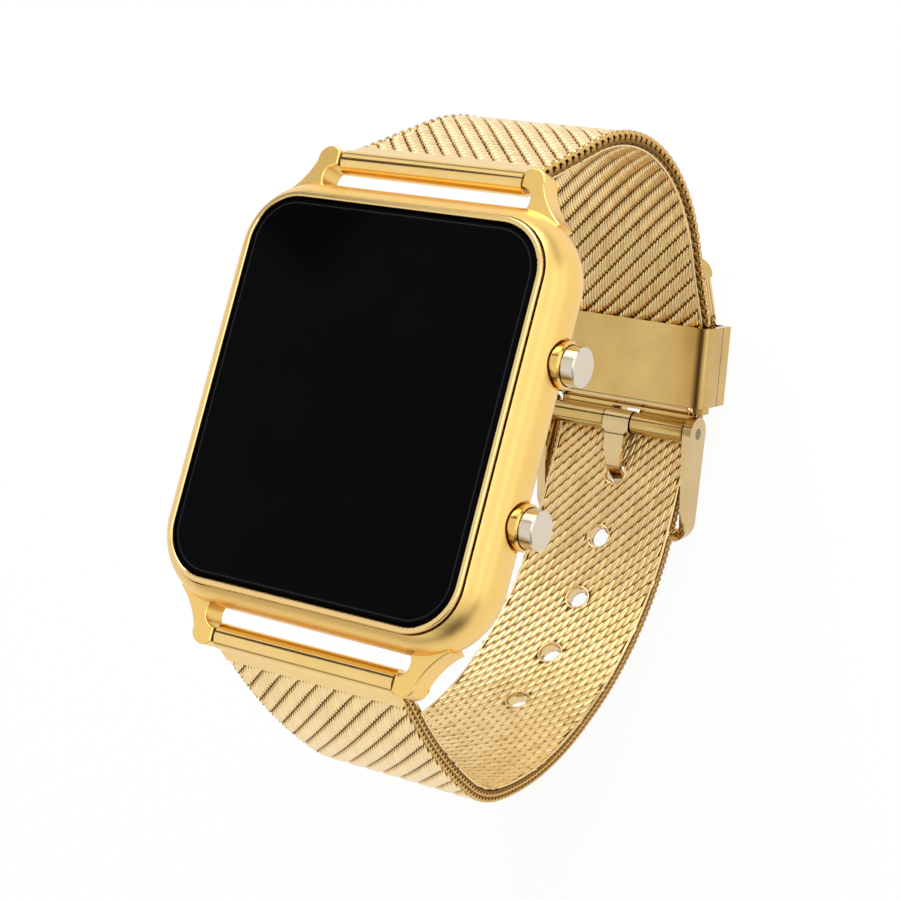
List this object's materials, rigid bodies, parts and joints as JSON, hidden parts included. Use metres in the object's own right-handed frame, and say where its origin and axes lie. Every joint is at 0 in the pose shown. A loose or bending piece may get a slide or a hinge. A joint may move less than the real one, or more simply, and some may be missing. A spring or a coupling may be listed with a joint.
{
  "type": "led watch",
  "caption": "Rectangular LED wristwatch: black crystal in a gold case, side push buttons and a woven metal strap closed by a pin buckle with a keeper box.",
  "frame": {"origin": "centre of the case back's outer face", "axes": "+Z out through the crystal, +Y to 12 o'clock, +X to 3 o'clock, where the buttons stand"},
  "size_m": [0.0343, 0.06, 0.05],
  "materials": {
    "case_gold": "satin gold plating",
    "rim_gold": "polished gold plating",
    "dark_glass": "black tinted, polished",
    "gasket_rubber": "soft black",
    "back_steel": "brushed",
    "screw_steel": "turned",
    "holder_plastic": "moulded off-white",
    "board_green": "green solder mask",
    "display_black": "black, smooth",
    "chip_black": "moulded black",
    "can_steel": "drawn",
    "cell_steel": "nickel plated",
    "contact_brass": "plated spring sheet",
    "film_plastic": "clear amber film",
    "collar_gold": "polished gold plating",
    "spring_steel": "drawn wire",
    "bar_steel": "turned",
    "cap_champagne": "champagne plating, satin",
    "tube_gold": "polished gold plating",
    "mesh_gold": "woven gold plated wire",
    "tip_gold": "polished gold plating",
    "clasp_gold": "polished gold plating",
    "pin_steel": "turned",
    "frame_gold": "polished gold plating",
    "tongue_gold": "polished gold plating"
  },
  "bodies": {
    "case": {"case_middle": "case_gold", "bezel_rim": "rim_gold", "crystal": "dark_glass", "crystal_gasket": "gasket_rubber", "case_back": "back_steel", "back_gasket": "gasket_rubber", "case_back_screws": "screw_steel", "movement_holder": "holder_plastic", "circuit_board": "board_green", "led_display": "display_black", "control_chip": "chip_black", "oscillator_can": "can_steel", "coin_cell": "cell_steel", "battery_contacts": "contact_brass", "insulator_sheet": "film_plastic", "switch_leaves": "contact_brass", "button_tube_upper": "collar_gold", "button_tube_lower": "collar_gold", "button_seals": "gasket_rubber", "button_spring_upper": "spring_steel", "button_spring_lower": "spring_steel", "spring_bar_upper": "bar_steel", "spring_bar_lower": "bar_steel"},
    "button_upper": {"button_cap_upper": "cap_champagne", "button_clip_upper": "spring_steel"},
    "button_lower": {"button_cap_lower": "cap_champagne", "button_clip_lower": "spring_steel"},
    "strap_upper": {"end_tube_upper": "tube_gold", "strap_mesh_upper": "mesh_gold", "clasp_body": "clasp_gold", "keeper_cover": "clasp_gold", "clasp_pin": "pin_steel"},
    "strap_lower": {"end_tube_lower": "tube_gold", "strap_mesh_lower": "mesh_gold", "strap_tail_tip": "tip_gold"},
    "buckle_frame": {"buckle_frame": "frame_gold"},
    "buckle_tongue": {"buckle_tongue": "tongue_gold"}
  },
  "joints": [
    {"name": "button_upper_press", "type": "slide", "parent": "case", "child": "button_upper", "axis": [-1, 0, 0], "range_m": [0, 0.0007], "stiffness_N_per_m": 1500, "springref_m": -0.00035, "deforming": ["button_spring_upper"]},
    {"name": "button_lower_press", "type": "slide", "parent": "case", "child": "button_lower", "axis": [-1, 0, 0], "range_m": [0, 0.0007], "stiffness_N_per_m": 1500, "springref_m": -0.00035, "deforming": ["button_spring_lower"]},
    {"name": "strap_upper_swing", "type": "hinge", "parent": "case", "child": "strap_upper", "pos_m": [0, 0.0206, 0.00374], "axis": [1, 0, 0], "range_deg": [0, 90], "deforming": ["strap_mesh_upper"]},
    {"name": "strap_lower_swing", "type": "hinge", "parent": "case", "child": "strap_lower", "pos_m": [0, -0.0206, 0.00374], "axis": [-1, 0, 0], "range_deg": [0, 90], "deforming": ["strap_mesh_lower", "strap_tail_tip"]},
    {"name": "buckle_frame_swing", "type": "hinge", "parent": "strap_upper", "child": "buckle_frame", "pos_m": [0, 0.00912, -0.03803], "axis": [1, 0, 0], "range_deg": [0, 60]},
    {"name": "buckle_tongue_swing", "type": "hinge", "parent": "buckle_frame", "child": "buckle_tongue", "pos_m": [0, 0.00912, -0.03803], "axis": [1, 0, 0], "range_deg": [0, 30]}
  ]
}
